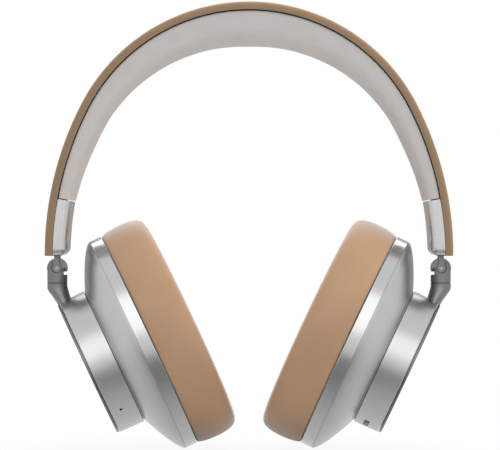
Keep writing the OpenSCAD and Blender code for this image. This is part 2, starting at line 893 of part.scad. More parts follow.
module usb_socket() {
    depth = 7.3;
    wall = 0.3;
    tongue = [5, 6.7, 0.7];
    color(STEEL)
        on_side(1)
        at_cup()
        on_wall(usb_angle)
        translate([wall_out - depth - 0.4, 0, 0])
        difference() {
            usb_solid(usb_w, usb_h, depth);
            difference() {
                translate([1, 0, 0]) usb_solid(usb_w - 2 * wall, usb_h - 2 * wall, depth);
                translate([0, -tongue[1] / 2, -tongue[2] / 2]) cube(tongue);
            }
        }
}

module jack_socket() {
    nose_r = jack_r - 0.3;
    nose = drum_wall + 0.6;
    color(STEEL)
        on_side(1)
        at_cup()
        on_wall(0)
        translate([wall_out - 0.3, 0, 0])
        rotate([0, -90, 0])
        difference() {
            union() {
                cylinder(r = nose_r, h = nose + over);
                translate([0, 0, nose]) cylinder(r = jack_r, h = jack_len + over - nose);
            }
            translate([0, 0, -over]) cylinder(d = jack_bore_d, h = jack_len + over);
        }
}

module assistant_button() {
    proud = 0.5;
    foot_t = 1;
    color(STEEL)
        on_side(-1)
        at_cup()
        on_wall(button_angle)
        rotate([0, 90, 0])
        union() {
            translate([0, 0, wall_in - 2]) cylinder(d = button_d, h = drum_wall + 2 + proud);
            translate([0, 0, wall_in - part_gap - 0.6 - foot_t]) cylinder(d = button_d + 1, h = foot_t);
        }
}

module mic_mesh() {
    recess = 0.4;
    color(DARK)
        on_side(-1)
        at_cup()
        on_wall(mic_angle, mic_z)
        rotate([0, 90, 0])
        translate([0, 0, wall_in + 0.2])
        cylinder(d = mic_d, h = drum_wall - 0.2 - recess);
}

headband_cover();
headband_spring();
headband_liner();
headband_pad();
headband_cable();
band_rivets();
sleeve(-1);  // sleeve_left
sleeve(1);  // sleeve_right
slider_guide(-1);  // slider_guide_left
slider_guide(1);  // slider_guide_right
slider_arm(-1);  // slider_arm_left
slider_arm(1);  // slider_arm_right
fold_pin(-1);  // fold_pin_left
fold_pin(1);  // fold_pin_right
knuckle(-1);  // knuckle_left
knuckle(1);  // knuckle_right
swivel_washer(-1);  // swivel_washer_left
swivel_washer(1);  // swivel_washer_right
swivel_pin(-1);  // swivel_pin_left
swivel_pin(1);  // swivel_pin_right
yoke_arm(-1);  // yoke_arm_left
yoke_arm(1);  // yoke_arm_right
drum_housing(-1);  // drum_housing_left
drum_housing(1);  // drum_housing_right
dial_ring(-1);  // dial_ring_left
dial_ring(1);  // dial_ring_right
touch_disc(-1);  // touch_disc_left
touch_disc(1);  // touch_disc_right
circuit_board(-1);  // circuit_board_left
circuit_board(1);  // circuit_board_right
drum_gasket(-1);  // drum_gasket_left
drum_gasket(1);  // drum_gasket_right
cup_shell(-1);  // cup_shell_left
cup_shell(1);  // cup_shell_right
rim_ring(-1);  // rim_ring_left
rim_ring(1);  // rim_ring_right
baffle(-1);  // baffle_left
baffle(1);  // baffle_right
baffle_screws(-1);  // baffle_screws_left
baffle_screws(1);  // baffle_screws_right
driver_basket(-1);  // driver_basket_left
driver_basket(1);  // driver_basket_right
driver_magnet(-1);  // driver_magnet_left
driver_magnet(1);  // driver_magnet_right
driver_diaphragm(-1);  // driver_diaphragm_left
driver_diaphragm(1);  // driver_diaphragm_right
driver_cloth(-1);  // driver_cloth_left
driver_cloth(1);  // driver_cloth_right
cushion_ring(-1);  // cushion_ring_left
cushion_ring(1);  // cushion_ring_right
ear_cushion(-1);  // ear_cushion_left
ear_cushion(1);  // ear_cushion_right
battery_cell();
assistant_button();
mic_mesh();
power_slider();
usb_socket();
jack_socket();
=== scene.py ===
import json
import math

import bpy
from mathutils import Matrix, Vector


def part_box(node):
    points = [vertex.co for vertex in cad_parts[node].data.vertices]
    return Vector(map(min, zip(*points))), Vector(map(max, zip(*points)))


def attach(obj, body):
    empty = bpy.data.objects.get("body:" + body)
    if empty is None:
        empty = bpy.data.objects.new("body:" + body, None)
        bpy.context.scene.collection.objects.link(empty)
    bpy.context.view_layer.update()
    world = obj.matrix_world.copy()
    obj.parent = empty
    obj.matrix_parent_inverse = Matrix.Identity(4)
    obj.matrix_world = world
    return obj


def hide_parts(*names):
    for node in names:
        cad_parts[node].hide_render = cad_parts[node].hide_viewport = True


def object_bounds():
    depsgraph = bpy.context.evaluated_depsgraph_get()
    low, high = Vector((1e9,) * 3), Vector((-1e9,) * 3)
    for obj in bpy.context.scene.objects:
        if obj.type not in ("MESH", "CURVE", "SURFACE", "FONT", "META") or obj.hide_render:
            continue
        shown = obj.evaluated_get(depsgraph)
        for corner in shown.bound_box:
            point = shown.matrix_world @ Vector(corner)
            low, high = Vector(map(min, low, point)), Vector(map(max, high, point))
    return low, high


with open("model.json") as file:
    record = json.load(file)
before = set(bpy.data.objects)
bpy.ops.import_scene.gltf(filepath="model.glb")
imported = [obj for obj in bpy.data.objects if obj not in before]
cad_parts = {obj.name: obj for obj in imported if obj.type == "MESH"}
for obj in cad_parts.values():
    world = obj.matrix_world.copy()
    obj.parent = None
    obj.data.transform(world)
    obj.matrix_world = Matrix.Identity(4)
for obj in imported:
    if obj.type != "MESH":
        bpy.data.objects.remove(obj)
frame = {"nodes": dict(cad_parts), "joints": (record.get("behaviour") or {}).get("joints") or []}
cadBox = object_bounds()
mm = 0.001
sides = ("left", "right")
joints = {joint["name"]: joint for joint in frame["joints"]}
print("frame loaded,", len(frame["nodes"]), "nodes")

# The camera is level with the photograph's middle, far off, as its mild perspective shows
camera = {
    "distance": 900 * mm,
    "height": -83 * mm,
    "sideStep": 0.45 * mm,     # the object sits a pixel left of the middle
    "frameWidth": 232.5 * mm,  # what the picture's width covers at the object
    "sensor": 36,
}


def makeCamera():
    bpy.ops.object.camera_add(
        location=(camera["sideStep"], -camera["distance"], camera["height"]),
        rotation=(math.radians(90), 0, 0))
    cam = bpy.context.object
    cam.name = "photoCamera"
    cam.data.sensor_width = camera["sensor"]
    cam.data.lens = camera["sensor"] * camera["distance"] / camera["frameWidth"]
    bpy.context.scene.camera = cam


makeCamera()


# Working in edit mode
weld = 0.001 * mm  # points nearer than this become one
edgeSegments = 2


def deselectAll():
    if bpy.context.object and bpy.context.object.mode != "OBJECT":
        bpy.ops.object.mode_set(mode="OBJECT")
    bpy.ops.object.select_all(action="DESELECT")


def activate(obj):
    deselectAll()
    obj.select_set(True)
    bpy.context.view_layer.objects.active = obj


def editAll(obj):
    activate(obj)
    bpy.ops.object.mode_set(mode="EDIT")
    bpy.ops.mesh.select_mode(type="VERT")
    bpy.ops.mesh.select_all(action="SELECT")


def selectVertices(obj, test):
    # ends in edit mode, with only the vertices that pass the test selected
    editAll(obj)
    bpy.ops.mesh.select_all(action="DESELECT")
    bpy.ops.object.mode_set(mode="OBJECT")
    for vertex in obj.data.vertices:
        vertex.select = test(vertex.co)
    bpy.ops.object.mode_set(mode="EDIT")


def applyModifier(obj, kind, **settings):
    activate(obj)
    bpy.ops.object.modifier_add(type=kind)
    mod = obj.modifiers[-1]
    for key, value in settings.items():
        setattr(mod, key, value)
    bpy.ops.object.modifier_apply(modifier=mod.name)


def smoothShade(obj, degrees):
    activate(obj)
    bpy.ops.object.shade_smooth_by_angle(angle=math.radians(degrees))


def outwardNormals(obj):
    editAll(obj)
    bpy.ops.mesh.remove_doubles(threshold=weld)
    bpy.ops.mesh.normals_make_consistent(inside=False)
    bpy.ops.object.mode_set(mode="OBJECT")


def softenEdges(obj, width, degrees):
    applyModifier(obj, "BEVEL", width=width * mm, segments=edgeSegments, limit_method="ANGLE",
                  angle_limit=math.radians(degrees), use_clamp_overlap=True)
    smoothShade(obj, degrees)
    applyModifier(obj, "WEIGHTED_NORMAL", keep_sharp=True)


def cutAway(obj, cutter):
    applyModifier(obj, "BOOLEAN", operation="DIFFERENCE", solver="EXACT", object=cutter)
    bpy.data.objects.remove(cutter)


# Cup frame: x down the cup, y across it, z from the dial's face to the head
def cupFrame(side):
    joint = joints["dial_" + side]
    inward = Vector(joint["axis"]).normalized()
    across = Vector((0, 0, 1)).cross(inward).normalized()
    place = Matrix((across.cross(inward), across, inward)).transposed().to_4x4()
    place.translation = Vector(joint["pos_m"])
    return place


cupPlaces = {side: cupFrame(side) for side in sides}


def cupPoints(node, side):
    back = cupPlaces[side].inverted()
    return [(back @ v.co) / mm for v in frame["nodes"][node].data.vertices]


def cupSpan(node, side):
    points = cupPoints(node, side)
    low = Vector([min(p[i] for p in points) for i in range(3)])
    high = Vector([max(p[i] for p in points) for i in range(3)])
    return low, high


# Rings are (half height, half width, z) in mm: each is the last one extruded and scaled
def ringStack(name, rings, count, closing):
    deselectAll()
    halfX, halfY, z = rings[0]
    bpy.ops.mesh.primitive_circle_add(vertices=count, radius=1)
    obj = bpy.context.object
    obj.name = name
    editAll(obj)
    bpy.ops.transform.resize(value=(halfX * mm, halfY * mm, 1), center_override=(0, 0, 0))
    bpy.ops.transform.translate(value=(0, 0, z * mm))
    for nextX, nextY, nextZ in rings[1:]:
        bpy.ops.mesh.extrude_edges_move(TRANSFORM_OT_translate={"value": (0, 0, (nextZ - z) * mm)})
        bpy.ops.transform.resize(
            value=(nextX / halfX, nextY / halfY, 1), center_override=(0, 0, nextZ * mm))
        halfX, halfY, z = nextX, nextY, nextZ
    bpy.ops.mesh.select_all(action="DESELECT")
    bpy.ops.mesh.select_mode(type="EDGE")
    bpy.ops.mesh.select_non_manifold(extend=False, use_wire=False, use_boundary=True,
                                     use_multi_face=False, use_non_contiguous=False, use_verts=False)
    if closing == "loop":
        bpy.ops.mesh.bridge_edge_loops()
    else:
        bpy.ops.mesh.fill_holes(sides=0)
    bpy.ops.object.mode_set(mode="OBJECT")
    outwardNormals(obj)
    return obj


def settleInCup(obj, side):
    # the cup's own coordinates stay on the mesh, for brushing that follows the cup's axis
    layer = obj.data.attributes.new("cupPlace", "FLOAT_VECTOR", "POINT")
    for item, vertex in zip(layer.data, obj.data.vertices):
        item.vector = vertex.co
    obj.data.transform(cupPlaces[side])


def wear(obj, material, body, slot, *nodes):
    obj.data.materials.clear()
    obj.data.materials.append(material)
    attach(obj, body)
    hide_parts(*nodes)


# Materials
def linear(code):
    # an sRGB hex code as the linear colour that the shaders take
    parts = [int(code[i:i + 2], 16) / 255 for i in (1, 3, 5)]
    return [p / 12.92 if p <= 0.04045 else ((p + 0.055) / 1.055) ** 2.4 for p in parts] + [1]


def addNode(tree, kind, settings=None, links=None):
    node = tree.nodes.new(kind)
    for key, value in (settings or {}).items():
        if isinstance(key, str) and hasattr(node, key):
            setattr(node, key, value)
        else:
            node.inputs[key].default_value = value
    for key, socket in (links or {}).items():
        tree.links.new(socket, node.inputs[key])
    return node


def startMaterial(name, **settings):
    material = bpy.data.materials.new(name)
    material.use_nodes = True
    tree = material.node_tree
    shader = tree.nodes["Principled BSDF"]
    for key, value in settings.items():
        shader.inputs[key.replace("_", " ")].default_value = value
    return material, tree, shader


def perMetre(size):
    return 1 / (size * mm)


def waveScale(size):
    # the wave texture runs through 20 radians in each of its units
    return perMetre(size) * math.tau / 20


def finishMaterial(tree, shader, tone, colours, grain, roughness, relief, depth):
    # tone mixes two colours, at the mix's sockets 6 and 7, grain runs between two roughnesses,
    # relief is as deep as depth in mm
    colour = addNode(tree, "ShaderNodeMix", {
        "data_type": "RGBA", 6: linear(colours[0]), 7: linear(colours[1])}, {0: tone})
    rough = addNode(tree, "ShaderNodeMapRange", {
        "To Min": roughness[0], "To Max": roughness[1]}, {"Value": grain})
    bump = addNode(tree, "ShaderNodeBump", {"Strength": 1, "Distance": depth * mm}, {"Height": relief})
    tree.links.new(colour.outputs[2], shader.inputs["Base Color"])
    tree.links.new(rough.outputs["Result"], shader.inputs["Roughness"])
    tree.links.new(bump.outputs["Normal"], shader.inputs["Normal"])


# Chrome tanned hide, plated smooth: the pores leave a fine pebble under a low sheen.
# The pebble is 0.9 mm, about twice the real one, so that it shows
def tanLeather(name, low, high, sheen, spread):
    poreShare = 0.6
    material, tree, shader = startMaterial(name, IOR=1.5, Sheen_Weight=sheen, Sheen_Roughness=spread)
    where = addNode(tree, "ShaderNodeTexCoord").outputs["Object"]
    cloud = addNode(tree, "ShaderNodeTexNoise", {"Scale": perMetre(20), "Detail": 4}, {"Vector": where})
    pebble = addNode(tree, "ShaderNodeTexVoronoi", {"Scale": perMetre(0.9)}, {"Vector": where})
    pores = addNode(tree, "ShaderNodeTexNoise", {"Scale": perMetre(0.5), "Detail": 3}, {"Vector": where})
    relief = addNode(tree, "ShaderNodeMath", {"operation": "MULTIPLY_ADD", 1: poreShare},
                     {0: pores.outputs["Fac"], 2: pebble.outputs["Distance"]})
    finishMaterial(tree, shader, tone=cloud.outputs["Fac"], colours=(low, high),
                   grain=pores.outputs["Fac"], roughness=(0.42, 0.58),
                   relief=relief.outputs["Value"], depth=0.012)
    return material


# Fine weft knit of pale grey yarn: rows of small loops, soft at grazing angles.
# Rows are about 1.8 mm apart and loops 0.8 mm, coarser than real, so that they show
def greyKnit():
    rowShare = 0.6
    material, tree, shader = startMaterial(
        "greyWeftKnit", IOR=1.45, Sheen_Weight=0.04, Sheen_Roughness=0.6)
    where = addNode(tree, "ShaderNodeTexCoord").outputs["Object"]
    rows = addNode(tree, "ShaderNodeTexWave", {
        "bands_direction": "Y", "Scale": waveScale(1.7756), "Distortion": 1.5, "Detail Scale": 2},
        {"Vector": where})
    loops = addNode(tree, "ShaderNodeTexVoronoi", {"Scale": perMetre(0.8)}, {"Vector": where})
    cloud = addNode(tree, "ShaderNodeTexNoise", {"Scale": perMetre(7), "Detail": 6}, {"Vector": where})
    relief = addNode(tree, "ShaderNodeMath", {"operation": "MULTIPLY_ADD", 1: rowShare},
                     {0: rows.outputs["Fac"], 2: loops.outputs["Distance"]})
    finishMaterial(tree, shader, tone=cloud.outputs["Fac"], colours=("#C8C4C1", "#D4D0CD"),
                   grain=relief.outputs["Value"], roughness=(0.75, 0.95),
                   relief=relief.outputs["Value"], depth=0.06)
    return material


# Aluminium blasted with fine beads, then anodised: an even grit that spreads each highlight.
# The grit is 0.4 mm, coarser than real, so that it shows
def blastedAluminium(name, low, high, rough):
    spread = 0.05
    material, tree, shader = startMaterial(name, Metallic=1)
    where = addNode(tree, "ShaderNodeTexCoord").outputs["Object"]
    grit = addNode(tree, "ShaderNodeTexNoise", {"Scale": perMetre(0.4), "Detail": 2}, {"Vector": where})
    haze = addNode(tree, "ShaderNodeTexNoise", {"Scale": perMetre(15), "Detail": 3}, {"Vector": where})
    finishMaterial(tree, shader, tone=haze.outputs["Fac"], colours=(low, high),
                   grain=grit.outputs["Fac"], roughness=(rough - spread, rough + spread),
                   relief=grit.outputs["Fac"], depth=0.002)
    return material


# Aluminium brushed round the rim: hair lines that keep a steady depth in the cup.
# They are 0.3 mm apart, coarser than real, so that they show
def brushedAluminium(name, low, high, rough):
    spread = 0.08
    material, tree, shader = startMaterial(name, Metallic=1)
    local = addNode(tree, "ShaderNodeAttribute", {"attribute_name": "cupPlace"}).outputs["Vector"]
    hairScale = (perMetre(15), perMetre(15), perMetre(0.3))
    along = addNode(tree, "ShaderNodeMapping", {"Scale": hairScale}, {"Vector": local})
    hair = addNode(tree, "ShaderNodeTexNoise", {"Scale": 1, "Detail": 3},
                   {"Vector": along.outputs["Vector"]})
    finishMaterial(tree, shader, tone=hair.outputs["Fac"], colours=(low, high),
                   grain=hair.outputs["Fac"], roughness=(rough - spread, rough + spread),
                   relief=hair.outputs["Fac"], depth=0.003)
    return material


# Aluminium faced on a lathe: fine rings about the cup's axis that fan the light.
# They are 0.35 mm apart, coarser than real, so that they show
def turnedAluminium(name, low, high, rough):
    spread = 0.07
    material, tree, shader = startMaterial(name, Metallic=1)
    local = addNode(tree, "ShaderNodeAttribute", {"attribute_name": "cupPlace"}).outputs["Vector"]
    flat = addNode(tree, "ShaderNodeVectorMath", {"operation": "MULTIPLY", 1: (1, 1, 0)}, {0: local})
    radius = addNode(tree, "ShaderNodeVectorMath", {"operation": "LENGTH"}, {0: flat.outputs["Vector"]})
    rings = addNode(tree, "ShaderNodeTexNoise", {
        "noise_dimensions": "1D", "Scale": perMetre(0.35), "Detail": 3}, {"W": radius.outputs["Value"]})
    finishMaterial(tree, shader, tone=rings.outputs["Fac"], colours=(low, high),
                   grain=rings.outputs["Fac"], roughness=(rough - spread, rough + spread),
                   relief=rings.outputs["Fac"], depth=0.004)
    return material


# Moulded and pressed plastics: the fine grain of an eroded mould, no gloss.
# The grain is 0.4 mm, coarser than real, so that it shows
def mouldedPlastic(name, low, high):
    material, tree, shader = startMaterial(name, IOR=1.5)
    where = addNode(tree, "ShaderNodeTexCoord").outputs["Object"]
    grain = addNode(tree, "ShaderNodeTexNoise", {"Scale": perMetre(0.4), "Detail": 2}, {"Vector": where})
    finishMaterial(tree, shader, tone=grain.outputs["Fac"], colours=(low, high),
                   grain=grain.outputs["Fac"], roughness=(0.5, 0.7),
                   relief=grain.outputs["Fac"], depth=0.01)
    return material


# Black acoustic cloth: a plain weave that shows as a fine grid.
# Threads are about 1.4 mm apart, coarser than real, so that they show
def acousticCloth():
    threads = waveScale(1.38105)
    material, tree, shader = startMaterial("wovenAcousticCloth", IOR=1.45, Sheen_Weight=0.2)
    where = addNode(tree, "ShaderNodeTexCoord").outputs["Object"]
    turned = addNode(tree, "ShaderNodeMapping", {"Rotation": (0.4, 0.9, 0.2)}, {"Vector": where})
    weft = addNode(tree, "ShaderNodeTexWave", {"bands_direction": "X", "Scale": threads},
                   {"Vector": turned.outputs["Vector"]})
    warp = addNode(tree, "ShaderNodeTexWave", {"bands_direction": "Y", "Scale": threads},
                   {"Vector": turned.outputs["Vector"]})
    weave = addNode(tree, "ShaderNodeMath", {"operation": "MULTIPLY"},
                    {0: weft.outputs["Fac"], 1: warp.outputs["Fac"]})
    finishMaterial(tree, shader, tone=weave.outputs["Value"], colours=("#0E0E0F", "#2B2B2D"),
                   grain=weave.outputs["Value"], roughness=(0.7, 0.9),
                   relief=weave.outputs["Value"], depth=0.08)
    return material


# Rolled and drawn metal: fine lines along its length, a dull shine.
# The lines are 0.4 mm apart, coarser than real, so that they show
def drawnMetal(name, low, high, rough):
    spread = 0.08
    material, tree, shader = startMaterial(name, Metallic=1)
    where = addNode(tree, "ShaderNodeTexCoord").outputs["Object"]
    lineScale = (perMetre(0.4), perMetre(6), perMetre(6))
    along = addNode(tree, "ShaderNodeMapping", {"Scale": lineScale}, {"Vector": where})
    lines = addNode(tree, "ShaderNodeTexNoise", {"Scale": 1, "Detail": 3},
                    {"Vector": along.outputs["Vector"]})
    finishMaterial(tree, shader, tone=lines.outputs["Fac"], colours=(low, high),
                   grain=lines.outputs["Fac"], roughness=(rough - spread, rough + spread),
                   relief=lines.outputs["Fac"], depth=0.003)
    return material


finishes = {
    "cushionLeather": tanLeather("smoothTanLambskin", "#B08A68", "#BE9875", 0.9, 0.4),
    "bandLeather": tanLeather("smoothTanCowhide", "#8C7054", "#997D5F", 0.6, 0.3),
    "knit": greyKnit(),
    "drum": blastedAluminium("beadBlastedAluminium", "#B9B9BA", "#C3C3C4", 0.33),
    "sleeve": drawnMetal("polishedDrawnAluminium", "#BABABA", "#C6C6C6", 0.26),
    "hinge": blastedAluminium("greyAnodisedAluminium", "#747475", "#808081", 0.36),
    "rim": brushedAluminium("brushedAluminium", "#B6B6B7", "#C8C8C9", 0.22),
    "face": turnedAluminium("latheTurnedAluminium", "#C6C7C8", "#D8D9DA", 0.33),
    "dial": turnedAluminium("polishedTurnedAluminium", "#D2D4D6", "#E2E4E6", 0.26),
    "black": mouldedPlastic("mouldedBlackPlastic", "#151516", "#222224"),
    "cloth": acousticCloth(),
    "nylon": mouldedPlastic("mouldedNylon", "#CFCCC4", "#DDDAD3"),
    "board": mouldedPlastic("greenGlassEpoxyLaminate", "#244A35", "#30604A"),
    "cell": mouldedPlastic("aluminisedPouchFilm", "#8C8E91", "#A0A2A5"),
    "steel": drawnMetal("drawnSpringSteel", "#8F9194", "#A2A4A7", 0.35),
    "film": drawnMetal("copperCladPolymerFilm", "#A86A3C", "#C08450", 0.4),
}
print("materials ready:", len(finishes))


# Ear cushions: foam in leather, crowned across the ring and drawn in at the base
cushion = {
    "crown": 0.42,      # smaller is squarer across the ring
    "drawIn": 1.6,      # mm that the sides pull in at the base
    "drawSpan": 5,      # larger keeps the pull nearer to the base
    "seat": 0.18,       # mm that the base presses down towards the rim
    "fold": 0.5,        # mm, how tight the leather turns under
    "startInset": 0.2,  # mm that the foam starts inside its space, to swell from
    "bunch": 1.3,       # larger sets more of the rings near the base
    "around": 132,
    "across": 26,
    "nearAxis": 1.0,    # mm from the long axis within which the hole is measured
    "held": 2.0,        # mm above the base that stay on the carrier ring
    "pressure": 4.0,
    "cap": 0.5,         # mm that a point may swell
    "fill": 0.85,
    "sharp": 70,        # degrees, the turn from which an edge stays sharp
}
swelling = {"frames": 20, "smoothing": 0.5, "passes": 2}  # blown up, then smoothed, also for the pad


def cushionRings(low, high, hole):
    half = (high.x - hole) / 2 - cushion["startInset"]
    midX = (high.x + hole) / 2
    midY = midX - (high.x - high.y)
    base, top = low.z - cushion["seat"], high.z - cushion["startInset"]
    crown = cushion["crown"]
    rings = []
    for i in range(cushion["across"] + 1):
        angle = math.pi * i / cushion["across"]
        rise = max(0, math.sin(angle)) ** cushion["bunch"]
        reach = max(0, 1 - rise ** (2 / crown)) ** (crown / 2)
        drawn = half - cushion["drawIn"] * (1 - rise) ** cushion["drawSpan"]
        out = math.copysign(reach, math.cos(angle)) * drawn
        rings.append((midX + out, midY + out, base + (top - base) * rise))
    fold = cushion["fold"]  # keeps the base's corners crisp under the subdivision
    first, last = rings[0], rings[-1]
    return [(first[0] - fold, first[1] - fold, base)] + rings + [(last[0] + fold, last[1] + fold, base)]


def swell(obj, settings, held):
    # blown up like foam under a tight cover, with the held points fixed and the rest capped
    start = [v.co.copy() for v in obj.data.vertices]
    group = obj.vertex_groups.new(name="held")
    group.add([i for i, point in enumerate(start) if held(point)], 1, "REPLACE")
    activate(obj)
    bpy.ops.object.modifier_add(type="CLOTH")
    cloth = obj.modifiers[-1]
    cloth.settings.use_pressure = True
    cloth.settings.uniform_pressure_force = settings["pressure"]
    cloth.settings.vertex_group_mass = "held"
    cloth.settings.effector_weights.gravity = 0
    for step in range(1, swelling["frames"] + 1):
        bpy.context.scene.frame_set(step)
    bpy.ops.object.modifier_apply(modifier=cloth.name)
    bpy.context.scene.frame_set(1)
    limit = settings["cap"] * mm
    for vertex, before in zip(obj.data.vertices, start):
        move = vertex.co - before
        if move.length > limit:
            vertex.co = before + move * (limit / move.length)
    obj.vertex_groups.clear()
    applyModifier(obj, "SMOOTH", factor=swelling["smoothing"], iterations=swelling["passes"])


def makeCushion(side):
    node = "ear_cushion_" + side
    low, high = cupSpan(node, side)
    hole = min(abs(p.x) for p in cupPoints(node, side) if abs(p.y) < cushion["nearAxis"])
    rings = cushionRings(low, high, hole)
    obj = ringStack("earCushion" + side.title(), rings, cushion["around"], "loop")
    swell(obj, cushion, lambda point: point.z < (low.z + cushion["held"]) * mm)
    applyModifier(obj, "SUBSURF", levels=1, render_levels=1)
    smoothShade(obj, cushion["sharp"])
    settleInCup(obj, side)
    wear(obj, finishes["cushionLeather"], "cup_" + side, "tan_leather", node)


for side in sides:
    makeCushion(side)
print("ear cushions done")


# Cup shell and rim: round at the drum, oval at the rim
shell = {
    "flare": 1.42,     # larger widens sooner behind the drum
    "wall": 2.0,
    "neckInset": 0.4,
    "lip": 0.3,        # mm that the neck reaches over the gasket, which shows as a thin line
    "steps": 16,
    "around": 144,
    "edge": 0.2,
    "sharp": 40,
}
rim = {"edge": 0.15, "crease": 0.15, "wall": 2.2, "around": 180, "soft": 0.12, "sharp": 30}


def makeShell(side):
    low, high = cupSpan("cup_shell_" + side, side)
    neck = cupSpan("drum_housing_" + side, side)[1].x - shell["neckInset"]

    def ring(share, wall):
        flare = 1 - (1 - share) ** shell["flare"]
        return (neck + (high.x - neck) * flare - wall, neck + (high.y - neck) * flare - wall,
                low.z + (high.z - low.z) * share)

    shares = [i / shell["steps"] for i in range(shell["steps"] + 1)]
    outside = [ring(share, 0) for share in shares]
    inside = [ring(share, shell["wall"]) for share in reversed(shares)]
    bore, lip = neck - shell["wall"], low.z - shell["lip"]
    rings = [(neck, neck, lip)] + outside + inside + [(bore, bore, lip)]
    obj = ringStack("cupShell" + side.title(), rings, shell["around"], "loop")
    softenEdges(obj, shell["edge"], shell["sharp"])
    settleInCup(obj, side)
    wear(obj, finishes["drum"], "cup_" + side, "satin_aluminium", "cup_shell_" + side)


def makeRim(side):
    high = cupSpan("rim_ring_" + side, side)[1]
    edge, crease, wall = rim["edge"], rim["crease"], rim["wall"]
    start = cupSpan("cup_shell_" + side, side)[1].z
    rings = [
        (high.x - crease, high.y - crease, start),
        (high.x, high.y, start + crease),
        (high.x, high.y, high.z - edge),
        (high.x - edge, high.y - edge, high.z),
        (high.x - wall, high.y - wall, high.z),
        (high.x - wall, high.y - wall, start),
    ]
    obj = ringStack("rimRing" + side.title(), rings, rim["around"], "loop")
    softenEdges(obj, rim["soft"], rim["sharp"])
    settleInCup(obj, side)
    wear(obj, finishes["rim"], "cup_" + side, "bright_aluminium", "rim_ring_" + side)


for side in sides:
    makeShell(side)
    makeRim(side)
print("cup shells and rims done")


# Drum with its dial and touch disc
drum = {
    "draft": 0.3,
    "wall": 1.8,
    "edge": 0.4,
    "web": 1.2,
    "webDrop": 2.5,  # mm from the outer face to the web
    "hub": 4.0,      # mm, the radius inside which the web is filled flat
    "around": 144,
    "sharp": 30,
}
holes = {
    "mic": 1.3,
    "gap": 0.05,          # mm round the microphone's mesh
    "button": 4.6,
    "jack": 5.1,
    "socketWidth": 9.2,
    "socketHeight": 3.4,
    "socketRound": 2.02,  # the height over the corner's radius, where 2 is a half circle
    "slotLength": 6.8,
    "slotHeight": 2.6,
    "slotCorner": 0.3,
    "cornerSteps": 8,
    "depth": 8.0,         # mm that a cutter is long, half of it inside the drum
    "around": 40,
}
dial = {
    "edge": 0.35,
    "inner": 0.15,
    "gap": 0.3,     # mm between its back and the drum
    "around": 144,
    "soft": 0.08,
    "sharp": 30,
    "facing": 0.9,  # cosine from which a face looks along the axis; the side faces below it get the painted shade
}
disc = {
    "dish": 0.2,                # mm that the middle lies deeper than the edge
    "hollow": (2.0, 1.8, 1.5),  # depths in dishes: the middle, halfway out, the end of the flat
    "flat": 0.8,                # share of the radius
    "hub": 2.0,
    "around": 144,
    "sharp": 30,
}


def wallPlace(node, side, turn=0.0):
    # where a node meets the drum's wall, turned on round the drum by some degrees
    points = cupPoints(node, side)
    middle = sum(points, Vector()) / len(points)
    angle = math.atan2(middle.y, middle.x) + math.radians(turn)
    reach = cupSpan("drum_housing_" + side, side)[1].x * mm
    return angle, (reach * math.cos(angle), reach * math.sin(angle), middle.z * mm)


def roundHole(obj, side, node, diameter):
    angle, place = wallPlace(node, side)
    deselectAll()
    bpy.ops.mesh.primitive_cylinder_add(
        vertices=holes["around"], radius=diameter / 2 * mm, depth=holes["depth"] * mm,
        rotation=(0, math.pi / 2, angle), location=place)
    cutAway(obj, bpy.context.object)


def slotHole(obj, side, node, length, height, rounding, turn=0.0):
    angle, place = wallPlace(node, side, turn)
    deselectAll()
    bpy.ops.mesh.primitive_cube_add(
        size=1, rotation=(0, 0, angle), location=place,
        scale=(holes["depth"] * mm, length * mm, height * mm))
    cutter = bpy.context.object
    bpy.ops.object.transform_apply(location=False, rotation=False, scale=True)
    editAll(cutter)
    bpy.ops.mesh.select_all(action="DESELECT")
    bpy.ops.mesh.select_mode(type="EDGE")
    bpy.ops.object.mode_set(mode="OBJECT")
    for edge in cutter.data.edges:
        ends = [cutter.data.vertices[i].co for i in edge.vertices]
        edge.select = abs(ends[0].x - ends[1].x) > mm  # those that go through the wall
    bpy.ops.object.mode_set(mode="EDIT")
    bpy.ops.mesh.bevel(offset=rounding * mm, segments=holes["cornerSteps"], affect="EDGES")
    bpy.ops.object.mode_set(mode="OBJECT")
    cutAway(obj, cutter)


def makeDrum(side):
    low, high = cupSpan("drum_housing_" + side, side)
    tip, wall, edge, hub = high.x - drum["draft"], drum["wall"], drum["edge"], drum["hub"]
    web = low.z + drum["webDrop"]
    profile = [(hub, web), (tip - wall, web), (tip - wall, low.z), (tip - edge, low.z),
               (tip, low.z + edge), (high.x, high.z - edge / 2), (high.x - edge / 2, high.z),
               (high.x - wall, high.z), (tip - wall, web + drum["web"]), (hub, web + drum["web"])]
    obj = ringStack("drum" + side.title(), [(r, r, z) for r, z in profile], drum["around"], "fill")
    if side == "left":
        roundHole(obj, side, "mic_mesh", holes["mic"] + 2 * holes["gap"])
        roundHole(obj, side, "assistant_button", holes["button"])
    else:
        roundHole(obj, side, "jack_socket", holes["jack"])
        slotHole(obj, side, "usb_socket", holes["socketWidth"], holes["socketHeight"],
                 holes["socketHeight"] / holes["socketRound"])
        # The slider turns about the cup's -z, so its slot lies half the travel that way
        halfTravel = sum(joints["power_slide"]["range_deg"]) / 2
        slotHole(obj, side, "power_slider", holes["slotLength"], holes["slotHeight"],
                 holes["slotCorner"], -halfTravel)
    smoothShade(obj, drum["sharp"])
    settleInCup(obj, side)
    wear(obj, finishes["drum"], "cup_" + side, "satin_aluminium", "drum_housing_" + side)


